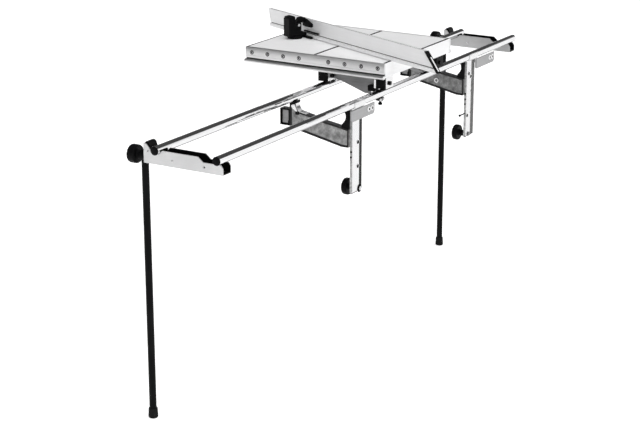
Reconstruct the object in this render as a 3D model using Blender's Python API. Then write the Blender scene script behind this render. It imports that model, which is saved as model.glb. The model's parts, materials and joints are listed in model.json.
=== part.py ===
"""Sliding-table attachment for a table or panel saw: two round rails on end brackets and folding legs,
two hangers that fasten it to the saw, a rolling table and a swivelling mitre fence.

Metres, +Z up. The design frame below has X along the rails from their front end, Y from the rail beside
the saw (y = 0) to the outer rail, and z = 0 on the floor. One empty shifts it all, so that the origin ends
up on the floor under the middle of the whole object's box.
"""

import math

import bmesh
import bpy
from mathutils import Vector

# Driving dimensions
GAP = 0.0003  # between solids that touch
RAIL_LENGTH = 1.850
RAIL_RADIUS = 0.0125
RAIL_WALL = 0.0020
RAIL_GAUGE = 0.200  # between the rails' axes
RAIL_HEIGHT = 0.800  # of the rails' axes above the floor
TABLE_TOP = 0.905
RAIL_SIDES = 32
ROUND = 24  # sides of a large round piece
SMALL_ROUND = 24  # and of pins and their bores, fine enough for the facets to turn in the clearance

# Rail end plugs
PLUG_DOME = 0.0055
PLUG_DEPTH = 0.020

# End brackets: a folded channel across the rails, given for the front one
BRACKET_FRONT = 0.009
BRACKET_WIDTH = 0.040
BRACKET_NEAR = -0.013
BRACKET_END = 0.2435
BRACKET_FLOOR = 0.7595
BRACKET_SHEET = 0.003
BRACKET_SEAT = 0.7872
BRACKET_CREST = 0.8005
BRACKET_HORN = 0.8135
END_BLOCK_TOP = 0.8185

# Legs: each folds about a bolt through the bracket's end wall
LEG_X = BRACKET_FRONT + BRACKET_WIDTH / 2
LEG_Y = RAIL_GAUGE + 0.054
LEG_RADIUS = 0.0103
LEG_BORE = 0.0085
LEG_TOP = 0.7625
PIVOT_HEIGHT = 0.774
HEAD_RADIUS = 0.0160
HEAD_THICKNESS = 0.0204
FOOT_RADIUS = 0.0140
FOOT_HEIGHT = 0.030
BOLT_RADIUS = 0.0040
KNOB_RADIUS = 0.0260

# Hangers
POST_WIDTH = 0.062
POST_BOTTOM = 0.526
POST_SHEET = 0.004
HOOK_INNER = RAIL_RADIUS + GAP
HOOK_OUTER = HOOK_INNER + 0.003
ARM_OFFSET = -0.011  # the arm's outer face, from the post's front edge
ARM_WIDTH = 0.026
ARM_START = 0.0045
ARM_END = 0.2085
ARM_WALL = 0.005
PLATE_LENGTH = 0.140
PLATE_LOW = 0.750
PLATE_TOP = 0.7842
CLIP_OUTER = 0.2425
HANGERS = (  # name, front edge of the post, stud across the post, front edge of the mounting plate
    ("front", 0.711, 0.045, 0.699),
    ("rear", 1.483, 0.022, 1.545),
)
STUD_HEIGHT = 0.533

# Rolling table
TABLE_FRONT = 0.838
TABLE_REAR = 1.280
TABLE_NEAR = -0.041
TABLE_OUTER = 0.455
TABLE_SPLIT = 0.207
SPLIT_WIDTH = 0.004
PANEL_DEPTH = 0.045
SKIN = 0.005
PROFILE_LIP = 0.010
PROFILE_BACK = 0.0075
PROFILE_LOW = 0.857

# Roller carriages at the table's corners, over the rails
HOUSING_LENGTH = 0.050
HOUSING_WIDTH = 0.035
HOUSING_LOW = 0.8145
HOUSING_TOP = 0.8592
HOUSING_FRONT_X = 0.909  # middle of the front housings
HOUSING_REAR_X = 1.246
CROSS_PLATE_SHIFT = 0.012  # behind the middle of the housings, clear of the axles' ends
ROLLER_WIDTH = 0.016
ROLLER_FLANGE = 0.0200
AXLE_HEIGHT = 0.8299
AXLE_RADIUS = 0.0040
CLEARANCE = 0.00009  # radial, in a running bearing

# Mitre fence, built square to the rails about its pivot and then swivelled
PIVOT_X = 1.0285
PIVOT_Y = 0.3904
FENCE_SWIVEL = math.radians(-23.9)
FENCE_FACE = 0.043
FENCE_THICKNESS = 0.012
FENCE_LIP = 0.006
FENCE_LOW = 0.907
FENCE_TOP = 0.964
FENCE_OUTER = 0.200  # its lower corners, out and in along its length
FENCE_INNER = 0.674
OUTER_LEAN = 0.018
INNER_LEAN = 0.060
BASE_RADIUS = 0.024
BASE_TOP = 0.9130
HEAD_HALF = 0.0150
HEAD_BACK = 0.0330
HEAD_REACH = 0.0345
LEVER_X = 0.006
LEVER_Z = 0.948

# The object's box across the rails runs between the two ends of the fence
FENCE_COS = math.cos(FENCE_SWIVEL)
FENCE_SIN = math.sin(FENCE_SWIVEL)
BOX_HIGH_Y = PIVOT_Y + (FENCE_OUTER + OUTER_LEAN) * FENCE_COS + FENCE_FACE * FENCE_SIN
BOX_LOW_Y = PIVOT_Y - FENCE_INNER * FENCE_COS + (FENCE_FACE + FENCE_THICKNESS) * FENCE_SIN


# Building blocks

def clear_scene():
    for old in list(bpy.data.objects):
        bpy.data.objects.remove(old, do_unlink=True)


def make_material(name, colour, roughness, metallic):
    made = bpy.data.materials.new(name)
    made.use_nodes = True
    shader = made.node_tree.nodes["Principled BSDF"]
    shader.inputs["Base Color"].default_value = (*colour, 1.0)
    shader.inputs["Roughness"].default_value = roughness
    shader.inputs["Metallic"].default_value = metallic
    return made


def arc(centre, radius, start, end, steps):
    """Points on an arc, from one angle to another in degrees."""
    points = []
    for i in range(steps + 1):
        angle = math.radians(start + (end - start) * i / steps)
        points.append((centre[0] + radius * math.cos(angle), centre[1] + radius * math.sin(angle)))
    return points


def along(axis, a, b, c):
    """A point from its two coordinates across an axis, in X Y Z order, and the one along it."""
    if axis == "X":
        return (c, a, b)
    if axis == "Y":
        return (a, c, b)
    return (a, b, c)


def prism(outline, axis, low, high):
    """A solid with the given outline, from low to high along an axis."""
    bm = bmesh.new()
    face = bm.faces.new([bm.verts.new(along(axis, a, b, low)) for a, b in outline])
    grown = bmesh.ops.extrude_face_region(bm, geom=[face])
    moved = [v for v in grown["geom"] if isinstance(v, bmesh.types.BMVert)]
    bmesh.ops.translate(bm, vec=Vector(along(axis, 0, 0, high - low)), verts=moved)
    bm.normal_update()
    bmesh.ops.recalc_face_normals(bm, faces=bm.faces)
    return bm


def block(x, y, z):
    """A box from three (low, high) pairs."""
    return prism([(x[0], y[0]), (x[1], y[0]), (x[1], y[1]), (x[0], y[1])], "Z", *z)


def turned(profile, centre, axis, sides=ROUND):
    """A solid of revolution about an axis through centre. The profile's points are (radius, distance
    along the axis); a profile that doesn't start and end on the axis is closed into a ring."""
    bm = bmesh.new()
    verts = [bm.verts.new((r, 0, h)) for r, h in profile]
    edges = [bm.edges.new(pair) for pair in zip(verts, verts[1:])]
    if profile[0][0] > 0:
        edges.append(bm.edges.new((verts[-1], verts[0])))
    bmesh.ops.spin(bm, geom=verts + edges, cent=(0, 0, 0), axis=(0, 0, 1), angle=math.tau,
                   steps=sides, use_merge=True)
    bmesh.ops.remove_doubles(bm, verts=bm.verts, dist=1e-6)
    for v in bm.verts:
        a, b, h = v.co
        v.co = Vector(centre) + Vector(along(axis, a, b, h))
    bm.normal_update()
    bmesh.ops.recalc_face_normals(bm, faces=bm.faces)
    return bm


def rod(radius, low, high, centre, axis, sides=SMALL_ROUND):
    """A plain cylinder between two places along an axis through centre."""
    return turned([(0, low), (radius, low), (radius, high), (0, high)], centre, axis, sides)


def hexagon(across, low, high, centre, axis):
    return rod(across / math.sqrt(3), low, high, centre, axis, sides=6)


def put(name, bm, parent, at=(0, 0, 0)):
    """An object from a mesh in its parent's frame, with its own origin moved to the given place."""
    bmesh.ops.translate(bm, vec=-Vector(at), verts=bm.verts)
    mesh = bpy.data.meshes.new(name)
    bm.to_mesh(mesh)
    bm.free()
    mesh.shade_smooth()
    mesh.set_sharp_from_angle(angle=math.radians(35))
    made = bpy.data.objects.new(name, mesh)
    bpy.context.scene.collection.objects.link(made)
    made.parent = parent
    made.location = at
    return made


def change(target, shape, operation="DIFFERENCE"):
    """Cuts a shape out of an object, or joins it on, with a live Boolean."""
    count = len(target.modifiers)
    guide = put(f"{target.name}_guide_{count}", shape, target.parent, tuple(target.location))
    guide.hide_render = True
    guide.display_type = "WIRE"
    boolean = target.modifiers.new(f"shape_{count}", "BOOLEAN")
    boolean.operation = operation
    boolean.object = guide


def piece(name, bm, material, parent, at=(0, 0, 0), cuts=(), joins=()):
    made = put(name, bm, parent, at)
    made.data.materials.append(material)
    for shape in joins:
        change(made, shape, "UNION")
    for shape in cuts:
        change(made, shape)
    return made


def empty(name, parent=None, at=(0, 0, 0), turn=0.0):
    made = bpy.data.objects.new(name, None)
    bpy.context.scene.collection.objects.link(made)
    made.parent = parent
    made.location = at
    made.rotation_euler.z = turn
    return made


def mirrored(x, is_rear):
    """A place along the rails, counted from the front end or, on the rear parts, from the rear end."""
    return RAIL_LENGTH - x if is_rear else x


def span(low, high, is_rear):
    """A (low, high) pair along the rails, mirrored on the rear parts."""
    ends = (mirrored(low, is_rear), mirrored(high, is_rear))
    return (min(ends), max(ends))


# Rails, plugs and end brackets

def build_rail(name, y, frame):
    ring = [
        (RAIL_RADIUS - RAIL_WALL, 0),
        (RAIL_RADIUS, 0),
        (RAIL_RADIUS, RAIL_LENGTH),
        (RAIL_RADIUS - RAIL_WALL, RAIL_LENGTH),
    ]
    piece(name, turned(ring, (0, y, RAIL_HEIGHT), "X", RAIL_SIDES), STEEL, frame)


def build_plug(name, y, is_rear, frame):
    """A domed cap with a spigot inside the rail."""
    spigot = RAIL_RADIUS - RAIL_WALL - GAP
    cap = [(0, -PLUG_DEPTH), (spigot, -PLUG_DEPTH), (spigot, GAP), (RAIL_RADIUS, GAP)]
    cap += [(RAIL_RADIUS, 0.0020), (0.0108, 0.0040), (0.0065, 0.0051), (0, PLUG_DOME)]
    sign = 1 if is_rear else -1
    profile = [(r, sign * h) for r, h in cap]
    end = mirrored(0, is_rear)
    piece(name, turned(profile, (end, y, RAIL_HEIGHT), "X"), BLACK_PLASTIC, frame)


def bracket_skyline():
    """The region above the bracket's flanges: seat, slope, crest, cradle and horn."""
    line = [(BRACKET_NEAR - 0.01, 0.778), (BRACKET_NEAR, 0.778), (BRACKET_NEAR + 0.006, BRACKET_SEAT)]
    line += [(0.050, BRACKET_SEAT), (0.066, BRACKET_CREST), (0.182, BRACKET_CREST)]
    line += arc((RAIL_GAUGE, RAIL_HEIGHT), RAIL_RADIUS + GAP, 217, 328, 10)
    line += [(0.221, 0.7960), (0.2335, BRACKET_HORN), (BRACKET_END + 0.01, BRACKET_HORN)]
    line += [(BRACKET_END + 0.01, 0.84), (BRACKET_NEAR - 0.01, 0.84)]
    return line


def build_bracket(name, is_rear, frame):
    outer = span(BRACKET_FRONT, BRACKET_FRONT + BRACKET_WIDTH, is_rear)
    inner = (outer[0] + BRACKET_SHEET, outer[1] - BRACKET_SHEET)
    body = block(outer, (BRACKET_NEAR, BRACKET_END), (BRACKET_FLOOR, 0.83))
    cavity = block(inner, (BRACKET_NEAR - 0.01, BRACKET_END - BRACKET_SHEET),
                   (BRACKET_FLOOR + BRACKET_SHEET, 0.85))
    skyline = prism(bracket_skyline(), "X", outer[0] - 0.01, outer[1] + 0.01)
    hole = rod(0.003, outer[0] - 0.005, outer[0] + 0.010, (0, 0.046, 0.774), "X", 16)
    pivot = rod(BOLT_RADIUS + GAP, BRACKET_END - 0.01, BRACKET_END + 0.01,
                (mirrored(LEG_X, is_rear), 0, PIVOT_HEIGHT), "Y", 16)
    piece(name, body, ALUMINIUM, frame, cuts=(cavity, skyline, hole, pivot))


def build_end_block(name, is_rear, frame):
    """The black moulding that closes the bracket's outer end between its flanges, over the leg's bolt."""
    low, high = span(BRACKET_FRONT, BRACKET_FRONT + BRACKET_WIDTH, is_rear)
    side = BRACKET_SHEET + GAP
    far = BRACKET_END - side
    outline = [(0.2200, 0.7835), (far, 0.7835), (far, END_BLOCK_TOP - 0.0025), (far - 0.0025, END_BLOCK_TOP)]
    outline += [(0.2315, END_BLOCK_TOP), (0.2265, END_BLOCK_TOP - 0.0035), (0.2200, 0.7950)]
    piece(name, prism(outline, "X", low + side, high - side), BLACK_PLASTIC, frame)


# Legs

def build_leg(end, is_rear, frame):
    x = mirrored(LEG_X, is_rear)
    pivot = (x, LEG_Y, PIVOT_HEIGHT)
    low = FOOT_HEIGHT * 0.4
    tube = [(LEG_BORE, low), (LEG_RADIUS, low), (LEG_RADIUS, LEG_TOP), (LEG_BORE, LEG_TOP)]
    piece(f"leg_tube_{end}", turned(tube, (x, LEG_Y, 0), "Z"), BLACK_STEEL, frame, pivot)
    build_foot(f"leg_foot_{end}", x, pivot, frame)
    build_head(f"leg_head_{end}", x, pivot, frame)
    build_leg_bolt(f"leg_bolt_{end}", x, frame)
    build_leg_knob(f"leg_knob_{end}", x, frame)


def build_foot(name, x, pivot, frame):
    """A rubber boot over the tube's end, a little wider at the floor."""
    wall = LEG_RADIUS + GAP
    floor = FOOT_HEIGHT * 0.4 - GAP
    boot = [(0, 0), (FOOT_RADIUS - 0.0035, 0), (FOOT_RADIUS - 0.001, 0.0012), (FOOT_RADIUS, 0.0040)]
    boot += [(FOOT_RADIUS - 0.0008, FOOT_HEIGHT - 0.003), (FOOT_RADIUS - 0.002, FOOT_HEIGHT)]
    boot += [(wall, FOOT_HEIGHT), (wall, floor), (0, floor)]
    piece(name, turned(boot, (x, LEG_Y, 0), "Z"), RUBBER, frame, pivot)


def build_head(name, x, pivot, frame):
    """The moulded disc that turns on the pivot bolt, with a spigot down into the leg's tube."""
    near = LEG_Y - HEAD_THICKNESS / 2
    far = LEG_Y + HEAD_THICKNESS / 2
    disc = rod(HEAD_RADIUS, near, far, (x, 0, PIVOT_HEIGHT), "Y", ROUND)
    flat = block((x - 0.05, x + 0.05), (near - 0.01, far + 0.01), (0.70, LEG_TOP + GAP))
    spigot = rod(LEG_BORE - GAP, LEG_TOP - 0.030, PIVOT_HEIGHT - 0.006, (x, LEG_Y, 0), "Z")
    bore = rod(BOLT_RADIUS + CLEARANCE, near - 0.01, far + 0.01, (x, 0, PIVOT_HEIGHT), "Y")
    made = put(name, disc, frame, pivot)
    made.data.materials.append(BLACK_PLASTIC)
    change(made, flat)
    change(made, spigot, "UNION")
    change(made, bore)


def build_leg_bolt(name, x, frame):
    """A hexagon-headed bolt from inside the bracket, through its end wall and the leg's head."""
    wall = BRACKET_END - BRACKET_SHEET
    shank = rod(BOLT_RADIUS, wall - 0.004, 0.2900, (x, 0, PIVOT_HEIGHT), "Y")
    nut = hexagon(0.013, wall - 0.007, wall - GAP, (x, 0, PIVOT_HEIGHT), "Y")
    piece(name, shank, STEEL, frame, (x, wall, PIVOT_HEIGHT), joins=(nut,))


def knob_profile(start, neck, thickness):
    """A round grip knob: neck, then a disc with rounded edges and a shallow dish in its face."""
    rim = KNOB_RADIUS
    low = start + neck
    high = low + thickness
    points = [(0, start), (0.0105, start), (0.0095, low - 0.004), (0.0130, low)]
    points += [(rim - 0.003, low), (rim - 0.0008, low + 0.0012), (rim, low + 0.004)]
    points += [(rim, high - 0.005), (rim - 0.0012, high - 0.0018), (rim - 0.004, high)]
    points += [(0.0150, high + 0.0008), (0.0130, high - 0.0006), (0, high - 0.0006)]
    return points


def build_leg_knob(name, x, frame):
    start = LEG_Y + HEAD_THICKNESS / 2 + GAP
    grip = turned(knob_profile(start, 0.0105, 0.0250), (x, 0, PIVOT_HEIGHT), "Y", ROUND)
    socket = rod(BOLT_RADIUS + GAP, start - 0.01, 0.2905, (x, 0, PIVOT_HEIGHT), "Y")
    piece(name, grip, BLACK_PLASTIC, frame, (x, start, PIVOT_HEIGHT), cuts=(socket,))


# Hangers

def post_section(x):
    """The post's plan: a folded front edge, the wide web and a set-back strip along the other edge."""
    half = POST_SHEET / 2
    plan = [(0, POST_SHEET), (0, -POST_SHEET), (0.044, -POST_SHEET), (0.046, -half)]
    plan += [(POST_WIDTH, -half), (POST_WIDTH, half), (0.0445, half), (0.0425, 0), (0.003, 0), (0.003, POST_SHEET)]
    return [(x + a, b) for a, b in plan]


def hook_section():
    """The post's top edge, curled round the saw side of the rail."""
    centre = (0, RAIL_HEIGHT)
    line = [(-POST_SHEET, 0.772), (-POST_SHEET, 0.7847)]
    line += arc(centre, HOOK_OUTER, 252, 142, 12)
    line += arc(centre, HOOK_INNER, 142, 270, 12)
    return line + [(0, 0.772)]


def build_post(name, x, stud, frame):
    stem = prism(post_section(x), "Z", POST_BOTTOM, 0.7846)
    hook = prism(hook_section(), "X", x + 0.0005, x + POST_WIDTH - 0.0005)
    holes = [rod(0.0030, -0.02, 0.02, (x + 0.034, 0, z), "Y", 16) for z in (0.605, 0.680)]
    passage = rod(BOLT_RADIUS + GAP, -0.02, 0.02, (x + stud, 0, STUD_HEIGHT), "Y", 16)
    relief = block((x - 0.01, x + POST_WIDTH + 0.01), (-0.01, GAP - POST_SHEET), (PLATE_LOW - GAP, 0.7848))
    piece(name, stem, ALUMINIUM, frame, joins=(hook,), cuts=(*holes, passage, relief))


def arm_outline():
    """The cast arm from the side: deep at the post, rising to a saddle under the outer rail."""
    line = [(ARM_START, 0.671), (0.028, 0.671), (ARM_END, 0.7085), (ARM_END, 0.780)]
    line += arc((RAIL_GAUGE, RAIL_HEIGHT), RAIL_RADIUS + GAP, 302, 236, 6)
    line += [(0.1885, 0.7800), (0.1810, 0.7620), (0.1680, 0.7575), (0.138, 0.7520), (0.087, 0.7395)]
    return line + [(0.028, 0.7305), (ARM_START, 0.7255)]


def arm_pocket():
    """The hollow behind the arm's face, inside its rim."""
    line = [(ARM_START + ARM_WALL, 0.6765), (0.030, 0.6765), (0.1750, 0.7065), (0.1750, 0.7520)]
    return line + [(0.138, 0.7465), (0.087, 0.7340), (0.028, 0.7250), (ARM_START + ARM_WALL, 0.7210)]


def build_arm(name, x, frame):
    front = x + ARM_OFFSET
    body = prism(arm_outline(), "X", front, front + ARM_WIDTH)
    pocket = prism(arm_pocket(), "X", front + 0.006, front + ARM_WIDTH + 0.01)
    eye = rod(0.0045, front - 0.01, front + 0.02, (0, 0.105, 0.711), "X", 16)
    piece(name, body, CAST_ALUMINIUM, frame, cuts=(pocket, eye))


def build_column(name, x, frame):
    """The black foot between the arm and the rail, with a hollowed outer side."""
    front = x + ARM_OFFSET + 0.002
    outline = [(ARM_START, 0.7262)]
    outline += arc((0, RAIL_HEIGHT), RAIL_RADIUS + GAP, 290.6, 328, 5)
    outline += [(0.0190, 0.7925)]
    outline += arc((0.0400, 0.7650), 0.0260, 132, 215, 8)
    outline += [(0.0270, 0.7400), (0.0290, 0.7312)]
    piece(name, prism(outline, "X", front, front + ARM_WIDTH - 0.004), BLACK_PLASTIC, frame)


def build_clip(name, x, frame):
    """The steel clip on the arm's outer end: a tray open towards the front."""
    front = x + ARM_OFFSET
    y = (ARM_END + GAP, CLIP_OUTER)
    z = (0.7125, 0.764)
    body = block((front, front + ARM_WIDTH), y, z)
    tray = block((front - 0.01, front + ARM_WIDTH - 0.006), (y[0] + 0.004, y[1] - 0.0035),
                 (z[0] + 0.0035, z[1] - 0.0035))
    piece(name, body, BLACK_STEEL, frame, cuts=(tray,))


def build_plate(name, start, frame):
    """The flat plate that fastens to the edge of the saw's table."""
    face = -POST_SHEET - GAP
    outline = [(start + 0.004, PLATE_LOW), (start + PLATE_LENGTH - 0.006, PLATE_LOW)]
    outline += [(start + PLATE_LENGTH, PLATE_LOW + 0.006), (start + PLATE_LENGTH, PLATE_TOP)]
    outline += [(start, PLATE_TOP), (start, PLATE_LOW + 0.004)]
    body = prism(outline, "Y", face - POST_SHEET, face)
    holes = [rod(0.0035, -0.03, 0.01, (start + PLATE_LENGTH - inset, 0, 0.770), "Y", 16) for inset in (0.017, 0.036)]
    piece(name, body, ALUMINIUM, frame, cuts=holes)


def build_clamp(end, x, frame):
    """The stud that screws into the saw, and its knob behind the post."""
    stud = rod(BOLT_RADIUS, -0.0075, 0.0440, (x, 0, STUD_HEIGHT), "Y")
    collar = rod(0.0075, 0.0085, 0.0105, (x, 0, STUD_HEIGHT), "Y")
    piece(f"clamp_stud_{end}", stud, STEEL, frame, (x, 0, STUD_HEIGHT), joins=(collar,))
    grip = turned(knob_profile(0.0110, 0.0180, 0.0190), (x, 0, STUD_HEIGHT), "Y", ROUND)
    socket = rod(BOLT_RADIUS + GAP, 0, 0.0445, (x, 0, STUD_HEIGHT), "Y")
    piece(f"clamp_knob_{end}", grip, BLACK_PLASTIC, frame, (x, 0.0110, STUD_HEIGHT), cuts=(socket,))


def build_hanger(end, x, stud, plate, frame):
    build_post(f"hanger_post_{end}", x, stud, frame)
    build_arm(f"support_arm_{end}", x, frame)
    build_column(f"rail_column_{end}", x, frame)
    build_clip(f"arm_clip_{end}", x, frame)
    build_plate(f"mounting_plate_{end}", plate, frame)
    build_clamp(end, x + stud, frame)


# Rolling table

def panel_section(low, high):
    """One table extrusion from the end: a top skin on four legs, open below."""
    bottom = TABLE_TOP - PANEL_DEPTH
    ribs = 4
    pitch = (high - low - SKIN) / (ribs - 1)
    line = [(low, TABLE_TOP), (low, bottom)]
    for i in range(ribs):
        left = low + i * pitch
        if i:
            line += [(left, TABLE_TOP - SKIN), (left, bottom)]
        line += [(left + SKIN, bottom)]
        if i < ribs - 1:
            line += [(left + SKIN, TABLE_TOP - SKIN)]
    return line + [(high, TABLE_TOP)]


def profile_section(face, back_sign):
    """The edge profile from the side: screw face, T-slot and protruding lower lip."""
    back = PROFILE_BACK
    section = [(back, PROFILE_LOW), (-PROFILE_LIP, PROFILE_LOW), (-PROFILE_LIP, 0.8675), (-0.001, 0.8685)]
    section += [(0.0010, 0.8685), (0.0010, 0.8655), (0.0045, 0.8655), (0.0045, 0.8790), (0.0010, 0.8790)]
    section += [(0.0010, 0.8760), (0, 0.8760), (0, TABLE_TOP), (back, TABLE_TOP)]
    return [(face + back_sign * a, z) for a, z in section]


def build_deck(frame):
    x = (TABLE_FRONT + PROFILE_BACK + GAP, TABLE_REAR - PROFILE_BACK - GAP)
    half = SPLIT_WIDTH / 2
    anchor = (TABLE_FRONT, 0, TABLE_TOP)
    for name, low, high in (
        ("table_panel_inner", TABLE_NEAR, TABLE_SPLIT - half),
        ("table_panel_outer", TABLE_SPLIT + half, TABLE_OUTER),
    ):
        piece(name, prism(panel_section(low, high), "X", *x), ALUMINIUM, frame, anchor)
    for name, face, sign in (("front_profile", TABLE_FRONT, 1), ("rear_profile", TABLE_REAR, -1)):
        bar = prism(profile_section(face, sign), "Y", TABLE_NEAR, TABLE_OUTER)
        piece(name, bar, ALUMINIUM, frame, anchor)


def build_cross_plate(name, x, frame):
    """The sheet between the two roller housings, deeper beside the inner rail."""
    near = HOUSING_WIDTH / 2 + GAP
    far = RAIL_GAUGE - near
    outline = [(near, HOUSING_TOP), (near, 0.8165), (0.024, 0.8165), (0.024, 0.7985), (0.050, 0.7985)]
    outline += [(0.050, 0.7860), (0.071, 0.7860), (0.155, 0.8150), (far, 0.8200), (far, HOUSING_TOP)]
    piece(name, prism(outline, "X", x - 0.002, x + 0.002), SHEET_STEEL, frame, (x, 0, HOUSING_TOP))


def roller_profile():
    """A grooved wheel whose groove fits the rail's round top."""
    half = ROLLER_WIDTH / 2
    drop = AXLE_HEIGHT - RAIL_HEIGHT
    groove = []
    for i in range(7):
        y = -half * 0.85 + half * 1.7 * i / 6
        groove.append((drop - math.sqrt((RAIL_RADIUS + GAP) ** 2 - y ** 2), y))
    bore = AXLE_RADIUS + CLEARANCE
    return [(bore, -half), (ROLLER_FLANGE, -half), *groove, (ROLLER_FLANGE, half), (bore, half)]


def build_carriage(side, end, x, y, frame):
    """Housing, grooved roller and axle bolt at one corner of the table."""
    name = f"{side}_{end}"
    long = (x - HOUSING_LENGTH / 2, x + HOUSING_LENGTH / 2)
    wide = (y - HOUSING_WIDTH / 2, y + HOUSING_WIDTH / 2)
    well = ROLLER_FLANGE + 0.0008
    slot = block((x - well, x + well), (y - 0.0088, y + 0.0088), (HOUSING_LOW - 0.01, 0.8510))
    bore = rod(AXLE_RADIUS + CLEARANCE, y - 0.03, y + 0.03, (x, 0, AXLE_HEIGHT), "Y")
    housing = block(long, wide, (HOUSING_LOW, HOUSING_TOP))
    at = (x, y, AXLE_HEIGHT)
    piece(f"roller_housing_{name}", housing, BLACK_PLASTIC, frame, at, cuts=(slot, bore))
    wheel = turned([(r, y + h) for r, h in roller_profile()], (x, 0, AXLE_HEIGHT), "Y", ROUND)
    piece(f"track_roller_{name}", wheel, BLACK_PLASTIC, frame, at)
    start = wide[0] - 0.0033 if side == "inner" else wide[0] - GAP
    shank = rod(AXLE_RADIUS, start - 0.003, wide[1] + 0.004, (x, 0, AXLE_HEIGHT), "Y")
    head = hexagon(0.012, start - 0.0045, start, (x, 0, AXLE_HEIGHT), "Y")
    piece(f"roller_axle_{name}", shank, STEEL, frame, at, joins=(head,))


def build_axle_plate(name, x, frame):
    """The bright plate on the saw side of an inner housing, under the axle's head."""
    side = -HOUSING_WIDTH / 2 - GAP
    sheet = block((x - 0.021, x + 0.025), (side - 0.0026, side), (HOUSING_LOW, HOUSING_TOP))
    bore = rod(AXLE_RADIUS + CLEARANCE, -0.04, 0.0, (x, 0, AXLE_HEIGHT), "Y")
    piece(name, sheet, ALUMINIUM, frame, (x, side, AXLE_HEIGHT), cuts=(bore,))


def build_table(frame):
    build_deck(frame)
    for end, x in (("front", HOUSING_FRONT_X), ("rear", HOUSING_REAR_X)):
        build_cross_plate(f"cross_plate_{end}", x + CROSS_PLATE_SHIFT, frame)
        build_axle_plate(f"axle_plate_{end}", x, frame)
        build_carriage("inner", end, x, 0, frame)
        build_carriage("outer", end, x, RAIL_GAUGE, frame)


# Mitre fence, in the frame of its pivot: x away from the clamping head, y towards the fence's outer end

def fence_section():
    """The fence from the end: tall face, narrow slot, lower lip, and a slot along the top."""
    face = FENCE_FACE
    lip = face - FENCE_LIP
    back = face + FENCE_THICKNESS
    line = [(lip, FENCE_LOW), (lip, 0.9180), (face + 0.003, 0.9180), (face + 0.003, 0.9200), (face, 0.9200)]
    line += [(face, FENCE_TOP), (face + 0.004, FENCE_TOP), (face + 0.004, FENCE_TOP - 0.006)]
    line += [(back - 0.004, FENCE_TOP - 0.006), (back - 0.004, FENCE_TOP), (back, FENCE_TOP), (back, FENCE_LOW)]
    return line


def build_fence(pivot):
    """The fence's extrusion, with both ends cut on a slant: the top edge starts and stops nearer its outer end."""
    bar = prism(fence_section(), "Y", -FENCE_INNER, FENCE_OUTER)
    for v in bar.verts:
        lean = INNER_LEAN if v.co.y < 0 else OUTER_LEAN
        v.co.y += lean * (v.co.z - FENCE_LOW) / (FENCE_TOP - FENCE_LOW)
    piece("fence_profile", bar, ALUMINIUM, pivot)


def build_mitre_head(pivot):
    """Base disc on the table, swivelling head with its foot towards the fence, lever and pins."""
    low = BASE_TOP + GAP
    disc = [(BOLT_RADIUS + 0.001, TABLE_TOP + GAP), (BASE_RADIUS, TABLE_TOP + GAP), (BASE_RADIUS, BASE_TOP - 0.002)]
    disc += [(BASE_RADIUS - 0.002, BASE_TOP), (BOLT_RADIUS + 0.001, BASE_TOP)]
    piece("mitre_base", turned(disc, (0, 0, 0), "Z"), BLACK_PLASTIC, pivot)
    piece("mitre_pin", rod(0.0045, TABLE_TOP + GAP, 0.927, (0, 0, 0), "Z"), STEEL, pivot)
    outline = [(-HEAD_BACK, low), (HEAD_REACH, low), (HEAD_REACH, 0.9215), (0.0220, 0.9240), (0.0150, 0.9300)]
    outline += [(0.0150, LEVER_Z + 0.006), (-0.0075, LEVER_Z + 0.006), (-0.0090, 0.9770), (-0.0120, 0.9790)]
    outline += [(-0.0290, 0.9770), (-HEAD_BACK, 0.9700)]
    body = prism(outline, "Y", -HEAD_HALF, HEAD_HALF)
    slot = block((LEVER_X - 0.0085, 0.06), (-0.0065, 0.0065), (LEVER_Z - 0.0085, 0.99))
    pin_bore = rod(0.0045 + CLEARANCE, low - 0.01, 0.928, (0, 0, 0), "Z")
    lever_bore = rod(0.0030 + CLEARANCE, -0.03, 0.03, (LEVER_X, 0, LEVER_Z), "Y")
    piece("mitre_head", body, BLACK_PLASTIC, pivot, cuts=(slot, pin_bore, lever_bore))
    build_lever(pivot)


def build_lever(pivot):
    """The cam lever: a hub on its pin, an arm that arches over to the fence, and a long pad along its face."""
    hub = (LEVER_X, LEVER_Z)
    outline = arc(hub, 0.0065, 130, 350, 10)
    outline += [(0.0200, 0.9530), (0.0300, 0.9550), (0.0350, 0.9470), (0.0410, 0.9470), (0.0410, 0.9610)]
    outline += [(0.0360, 0.9680), (0.0250, 0.9720), (0.0120, 0.9700), (0.0060, 0.9630)]
    lever = prism(outline, "Y", -0.0060, 0.0060)
    edge = [(0.006, 0.9420), (-0.008, 0.9400), (-0.039, 0.9410), (-0.042, 0.9435), (-0.042, 0.9505)]
    edge += [(-0.039, 0.9530), (-0.008, 0.9640), (0.006, 0.9650)]
    pad = prism(edge, "X", 0.0340, 0.0412)
    bore = rod(0.0030 + CLEARANCE, -0.03, 0.03, (LEVER_X, 0, LEVER_Z), "Y")
    piece("mitre_lever", lever, BLACK_PLASTIC, pivot, (LEVER_X, 0, LEVER_Z), joins=(pad,), cuts=(bore,))
    pin = rod(0.0030, -HEAD_HALF + 0.001, HEAD_HALF - 0.001, (LEVER_X, 0, LEVER_Z), "Y")
    piece("lever_pin", pin, STEEL, pivot, (LEVER_X, 0, LEVER_Z))


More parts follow.
